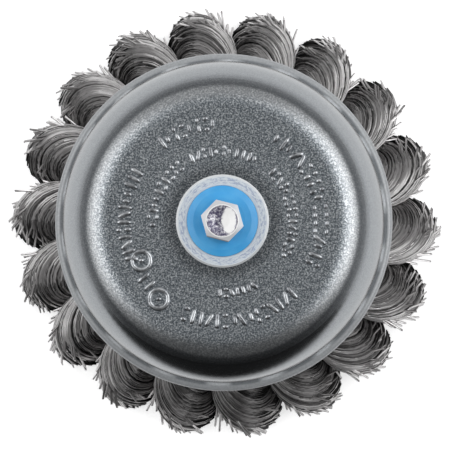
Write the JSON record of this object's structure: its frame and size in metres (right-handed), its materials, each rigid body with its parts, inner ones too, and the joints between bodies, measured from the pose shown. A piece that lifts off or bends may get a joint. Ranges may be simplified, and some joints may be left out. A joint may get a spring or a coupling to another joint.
{
  "type": "knotted wire cup brush",
  "caption": "Knotted wire cup brush: a painted steel cup holding a ring of twisted, flared wire knots, with a threaded bush closed by a plastic plug and bolt.",
  "frame": {"origin": "on the brush's axis, in the plane of the wire tips that it stands on", "axes": "+Z along the brush's axis from the wire tips to the hub; +X and +Y across it, with the first knot 18 degrees from +X towards +Y"},
  "size_m": [0.1008, 0.1, 0.056],
  "materials": {
    "cup_paint": "dark grey metallic hammer finish, glossy",
    "bare_steel": "bare pressed sheet",
    "zinc_plate": "bright zinc plating, slightly mottled",
    "blue_plastic": "moulded, satin",
    "steel_wire": "bare twisted steel wire"
  },
  "bodies": {
    "root": {"cup_shell": "cup_paint", "knot_holder": "bare_steel", "backing_washer": "zinc_plate", "threaded_bush": "zinc_plate", "bore_plug": "blue_plastic", "plug_bolt": "zinc_plate", "knot_01": "steel_wire", "knot_02": "steel_wire", "knot_03": "steel_wire", "knot_04": "steel_wire", "knot_05": "steel_wire", "knot_06": "steel_wire", "knot_07": "steel_wire", "knot_08": "steel_wire", "knot_09": "steel_wire", "knot_10": "steel_wire", "knot_11": "steel_wire", "knot_12": "steel_wire", "knot_13": "steel_wire", "knot_14": "steel_wire", "knot_15": "steel_wire", "knot_16": "steel_wire", "knot_17": "steel_wire", "knot_18": "steel_wire"}
  },
  "joints": []
}
